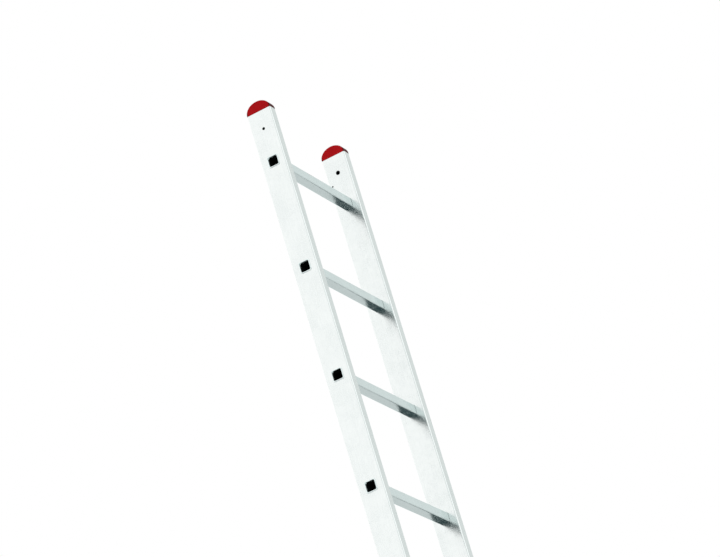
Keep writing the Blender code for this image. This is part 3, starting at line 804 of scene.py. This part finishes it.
def make_guide(node, body, own_y, rivets):
    """A bent strap: flat on its own stile, joggled out past the other one and hooked round it."""
    low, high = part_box(node)
    side = side_of(node)
    toward = -1 if own_y > 0 else 1
    flat = HALF_WIDTH + FIT_GAP + STRAP / 2
    joggled = HALF_WIDTH + JOGGLE + STRAP / 2
    bend = own_y + toward * (STILE_DEPTH / 2 + 0.001)
    hook = (low.y + STRAP / 2) if toward < 0 else (high.y - STRAP / 2)
    lip = HALF_WIDTH + JOGGLE - GUIDE_LIP
    path = [(flat, own_y - toward * GUIDE_TAB), (flat, bend), (joggled, bend + toward * JOGGLE_RUN)]
    path += [(joggled, hook), (lip, hook)]
    bm = bmesh.new()
    verts = [bm.verts.new((side * x, y, low.z)) for x, y in path]
    edges = [bm.edges.new(pair) for pair in zip(verts, verts[1:])]
    risen = bmesh.ops.extrude_edge_only(bm, edges=edges)["geom"]
    top = [part for part in risen if isinstance(part, bmesh.types.BMVert)]
    bmesh.ops.translate(bm, vec=(0, 0, high.z - low.z), verts=top)
    round_edges(bm, bends_of(bm, lambda y: abs(y - hook) > 1e-5), 0.0015, 3)
    round_edges(bm, bends_of(bm, lambda y: abs(y - hook) < 1e-5), 0.0030, 5)
    ends = [vert for vert in bm.verts if len(vert.link_edges) == 2]
    round_edges(bm, ends, 0.006, 5, affect="VERTICES")
    bmesh.ops.recalc_face_normals(bm, faces=bm.faces[:])
    bm = worked(bm, "SOLIDIFY", thickness=STRAP, offset=0.0, use_even_offset=True)
    tool = bmesh.new()
    for rivet in rivets:
        span = sorted((side * (HALF_WIDTH - 0.002), side * (HALF_WIDTH + 0.006)))
        cylinder(tool, RIVET_SHANK_R + FIT_GAP, rivet_place(rivet), *span, steps=24)
    bm = cut(bm, tool)
    finish_piece(bm, node + "_strap", body, [node], [ZINC_STEEL], 0.0004)


def make_stop(node, body, rivet):
    """A moulded block with rounded corners and a plain hole for its rivet."""
    low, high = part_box(node)
    bm = bmesh.new()
    bar(bm, low, high, X, STOP_CORNER, 5)
    tool = bmesh.new()
    cylinder(tool, RIVET_SHANK_R + FIT_GAP, rivet_place(rivet), low.x - 0.002, high.x + 0.002, steps=24)
    bm = cut(bm, tool)
    finish_piece(bm, node + "_block", body, [node], [BLACK_PLASTIC], 0.0006)


# Rung locks


def make_lock_plate(node, body, rivets):
    """A flat plate on the stile's inner face, with the pawl's stop stud."""
    low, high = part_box(node)
    side = side_of(node)
    span = sorted((side * PLATE_INNER, side * PLATE_OUTER))
    bm = bmesh.new()
    bar(bm, (span[0], low.y, low.z), (span[1], high.y, high.z), X, 0.008, 6)
    stud = bmesh.new()
    place = (PIVOT_Y + STUD_FROM_PIVOT[0], PIVOT_Z + STUD_FROM_PIVOT[1])
    stud_end = PAWL_INNER + 0.0006
    cylinder(stud, STUD_R, place, *sorted((side * (PLATE_OUTER - 0.001), side * stud_end)), steps=28)
    step_face(stud, end_face(stud, X, -side), X, -side * 0.0006, -0.0006)
    bm = join(bm, stud)
    tool = bmesh.new()
    holes = [(BOLT_R + FIT_GAP, (PIVOT_Y, PIVOT_Z))]
    holes += [(RIVET_SHANK_R + FIT_GAP, rivet_place(rivet)) for rivet in rivets]
    for radius, place in holes:
        cylinder(tool, radius, place, *sorted((side * (PLATE_INNER - 0.002), side * (PLATE_OUTER + 0.002))))
    bm = cut(bm, tool)
    finish_piece(bm, node + "_pressing", body, [node], [ZINC_STEEL], 0.0003)


def make_pawl(node, body):
    """The flat steel pawl with its folded thumb tab, with every edge eased."""
    bm = bmesh.new()
    bm.from_mesh(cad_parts[node].data)
    bmesh.ops.remove_doubles(bm, verts=bm.verts[:], dist=1e-5)
    bmesh.ops.dissolve_limit(bm, angle_limit=math.radians(1.0), verts=bm.verts[:], edges=bm.edges[:])
    finish_piece(bm, node + "_blank", body, [node], [ZINC_STEEL], 0.0004)


def make_pivot_bolt(node, body):
    """A chamfered hexagon head on a plain shank."""
    side = side_of(node)
    head = PAWL_INNER - FIT_GAP
    top = head - BOLT_HEAD_HEIGHT
    place = (PIVOT_Y, PIVOT_Z)
    hexagon = bmesh.new()
    cylinder(hexagon, BOLT_HEAD_R, place, *sorted((side * top, side * head)), steps=6)
    turned = bmesh.new()
    span = sorted((side * (top + 0.0008), side * (head + 0.001)))
    cylinder(turned, BOLT_HEAD_R + 0.0002, place, *span, steps=60)
    step_face(turned, end_face(turned, X, -side), X, -side * 0.0009, -0.0016)
    bm = worked(hexagon, "BOOLEAN", turned, operation="INTERSECT", solver="EXACT")
    shank = bmesh.new()
    cylinder(shank, BOLT_R, place, *sorted((side * (head - 0.001), side * (PLATE_OUTER - FIT_GAP))))
    bm = join(bm, shank)
    finish_piece(bm, node + "_hexagon", body, [node], [ZINC_STEEL], sharp_deg=25.0)


def make_spring(node, body, side):
    """A torsion spring of round wire on the pivot bolt, with a straight leg at each end."""
    margin = SPRING_WIRE_R + 0.0004
    start, end = PLATE_INNER - margin, PAWL_OUTER + margin
    first_turn = math.radians(200)
    steps = SPRING_TURNS * 24
    radial = Vector((0, math.cos(first_turn), math.sin(first_turn)))
    tangent = Vector((0, -math.sin(first_turn), math.cos(first_turn)))
    centre = Vector((side * start, PIVOT_Y, PIVOT_Z))
    across = tangent.cross(radial)
    turn = Matrix((radial, across, tangent)).transposed().to_4x4()
    matrix = Matrix.Translation(centre + SPRING_COIL_R * radial) @ turn
    bm = bmesh.new()
    bmesh.ops.create_circle(bm, cap_ends=False, segments=10, radius=SPRING_WIRE_R, matrix=matrix)
    ring = bm.edges[:]
    pitch = Vector((side * (end - start) / steps, 0, 0))
    spun = bmesh.ops.spin(
        bm,
        geom=ring,
        cent=centre,
        axis=(1, 0, 0),
        dvec=pitch,
        angle=SPRING_TURNS * 2 * math.pi,
        steps=steps,
        use_merge=False,
    )
    last = [part for part in spun["geom_last"] if isinstance(part, bmesh.types.BMEdge)]
    for loop, way in ((ring, -1), (last, 1)):
        made = bmesh.ops.extrude_edge_only(bm, edges=loop)["geom"]
        verts = [part for part in made if isinstance(part, bmesh.types.BMVert)]
        bmesh.ops.translate(bm, vec=tangent * way * 0.0115, verts=verts)
        border = [part for part in made if isinstance(part, bmesh.types.BMEdge) and part.is_boundary]
        bmesh.ops.contextual_create(bm, geom=border)
    bmesh.ops.remove_doubles(bm, verts=bm.verts[:], dist=1e-6)
    bmesh.ops.recalc_face_normals(bm, faces=bm.faces[:])
    finish_piece(bm, node + "_wire", body, [node], [ZINC_STEEL], sharp_deg=60.0)


# Assembly


def rungs_of(section):
    return sorted(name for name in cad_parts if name.startswith(section + "_rung"))


def build_section(section):
    """Stiles, rungs and caps of one section."""
    for word in SIDES:
        stops = [f"extension_stop_rivet_{word}"] if section == "fly" else []
        locks = [f"lock_plate_{word}_rivet_{number}" for number in (1, 2)] if section == "fly" else []
        rivets = [f"{section}_guide_{word}_rivet_{number}" for number in (1, 2)] + stops + locks
        make_stile(f"{section}_stile_{word}", section, rungs_of(section), rivets, section == "fly")
        make_end_cap(f"{section}_end_cap_{word}", section)
    for node in rungs_of(section):
        make_rung(node, section)


def build_fittings():
    for word, side in SIDES.items():
        tail = HALF_WIDTH - STILE_WALL - RIVET_TAIL
        for section, own_y in (("base", SECTION_Y), ("fly", -SECTION_Y)):
            guide = f"{section}_guide_{word}"
            rivets = [f"{guide}_rivet_{number}" for number in (1, 2)]
            make_guide(guide, section, own_y, rivets)
            for rivet in rivets:
                make_rivet(rivet, section, HALF_WIDTH + FIT_GAP + STRAP, tail)
        make_stop(f"extension_stop_{word}", "fly", f"extension_stop_rivet_{word}")
        make_rivet(f"extension_stop_rivet_{word}", "fly", HALF_WIDTH + FIT_GAP + STOP_THICKNESS, tail)
        make_foot(f"foot_{word}", "base", f"base_stile_{word}")
        make_bottom_plug(f"fly_bottom_plug_{word}", "fly", f"fly_stile_{word}")
        plate = f"lock_plate_{word}"
        rivets = [f"{plate}_rivet_{number}" for number in (1, 2)]
        make_lock_plate(plate, "fly", rivets)
        for rivet in rivets:
            make_rivet(rivet, "fly", PLATE_INNER, INNER_FACE + STILE_WALL + RIVET_TAIL)
        make_pivot_bolt(f"pawl_bolt_{word}", "fly")
        make_spring(f"pawl_spring_{word}", "fly", side)
        make_pawl(f"lock_pawl_{word}", f"pawl_{word}")


# Studio


def make_floor():
    bm = bmesh.new()
    bmesh.ops.create_grid(bm, x_segments=1, y_segments=1, size=60.0)
    mesh = bpy.data.meshes.new("floor")
    bm.to_mesh(mesh)
    bm.free()
    mesh.materials.append(floor_finish("pale_floor"))
    floor = bpy.data.objects.new("floor", mesh)
    bpy.context.scene.collection.objects.link(floor)


def make_dark_card(place, toward, width, height, colour):
    """A dark board that shows only in a reflection of a reflection, as beneath a rung beside its stile."""
    bm = bmesh.new()
    board = bmesh.ops.create_grid(bm, x_segments=1, y_segments=1, size=0.5)["verts"]
    bmesh.ops.scale(bm, vec=(width, height, 1.0), verts=board)
    mesh = bpy.data.meshes.new("dark_card")
    bm.to_mesh(mesh)
    bm.free()
    material = bpy.data.materials.new("dark_card")
    material.use_nodes = True
    tree = material.node_tree
    tree.nodes.clear()
    glow = tree.nodes.new("ShaderNodeEmission")
    glow.inputs["Color"].default_value = (*colour, 1.0)
    clear = tree.nodes.new("ShaderNodeBsdfTransparent")
    bounces = tree.nodes.new("ShaderNodeLightPath").outputs["Ray Depth"]
    either = tree.nodes.new("ShaderNodeMixShader")
    link(tree, calculate(tree, "GREATER_THAN", bounces, 1.5), either.inputs[0])
    link(tree, clear.outputs[0], either.inputs[1])
    link(tree, glow.outputs[0], either.inputs[2])
    out = tree.nodes.new("ShaderNodeOutputMaterial")
    link(tree, either.outputs[0], out.inputs["Surface"])
    mesh.materials.append(material)
    card = bpy.data.objects.new("dark_card", mesh)
    bpy.context.scene.collection.objects.link(card)
    card.location = place
    card.rotation_euler = (Vector(toward) - Vector(place)).to_track_quat("Z", "Y").to_euler()
    card.visible_camera = False
    card.visible_diffuse = False
    card.visible_shadow = False
    card.visible_transmission = False


ROOM_TONE = (1.06, 1.08, 1.07)
WORLD_TONES = [
    ((-0.85, 0.33, 0.40), 0.55, (1.045, 1.06, 1.055)),
    ((0.90, -0.42, 0.22), 0.20, (0.735, 0.78, 0.77)),
    ((0.85, 0.33, -0.40), 0.70, (0.62, 0.80, 0.78)),
    ((-0.33, -0.85, 0.40), 0.75, (1.30, 1.32, 1.32)),
    ((-0.85, -0.33, 0.40), 0.80, (0.76, 0.82, 0.81)),
]


def make_world():
    """A white room whose reflections change tone with direction, plain white where it is seen directly."""
    world = bpy.data.worlds.new("studio")
    bpy.context.scene.world = world
    world.use_nodes = True
    tree = world.node_tree
    tree.nodes.clear()
    way = tree.nodes.new("ShaderNodeTexCoord").outputs["Generated"]
    colour = ROOM_TONE
    for direction, start, tone in WORLD_TONES:
        lean = tree.nodes.new("ShaderNodeVectorMath")
        lean.operation = "DOT_PRODUCT"
        link(tree, way, lean.inputs[0])
        lean.inputs[1].default_value = Vector(direction).normalized()
        share = spread(tree, lean.outputs["Value"], start, 0.95, 0.0, 1.0, smooth=True)
        colour = blend_colours(tree, share, colour, tone)
    seen = tree.nodes.new("ShaderNodeLightPath").outputs["Is Camera Ray"]
    colour = blend_colours(tree, seen, colour, (1.0, 1.0, 1.0))
    background = tree.nodes.new("ShaderNodeBackground")
    link(tree, colour, background.inputs["Color"])
    out = tree.nodes.new("ShaderNodeOutputWorld")
    link(tree, background.outputs[0], out.inputs["Surface"])


def make_lamp(name, place, aim, size, power):
    lamp = bpy.data.lights.new(name, "AREA")
    lamp.size = size
    lamp.energy = power
    thing = bpy.data.objects.new(name, lamp)
    bpy.context.scene.collection.objects.link(thing)
    thing.location = place
    thing.rotation_euler = (Vector(aim) - Vector(place)).to_track_quat("-Z", "Y").to_euler()
    thing.visible_glossy = False


CAMERA_LENS = 185.86
CAMERA_PLACE = (-7.3904, -2.9727, 0.3023)
CAMERA_RIGHT = Vector((0.45855, -0.84721, -0.26826))
CAMERA_UP = Vector((-0.25117, -0.41312, 0.87536))


def make_camera():
    camera = bpy.data.cameras.new("camera")
    camera.sensor_fit = "HORIZONTAL"
    camera.sensor_width = 36.0
    camera.lens = CAMERA_LENS
    camera.clip_end = 200.0
    thing = bpy.data.objects.new("camera", camera)
    bpy.context.scene.collection.objects.link(thing)
    turn = Matrix((CAMERA_RIGHT, CAMERA_UP, CAMERA_RIGHT.cross(CAMERA_UP))).transposed()
    thing.matrix_world = Matrix.Translation(CAMERA_PLACE) @ turn.to_4x4()
    bpy.context.scene.camera = thing


def build_studio():
    make_floor()
    make_world()
    make_dark_card((-3.57, 1.45, 1.85), (0.17, -0.03, 3.7), 4.0, 3.8, (0.002, 0.028, 0.032))
    make_lamp("soft_key", (-4.5, -5.0, 7.0), (0.0, 0.0, 2.0), 3.0, 160.0)
    bpy.context.scene.view_settings.view_transform = "Standard"
    make_camera()


build_section("base")
build_section("fly")
build_fittings()
build_studio()
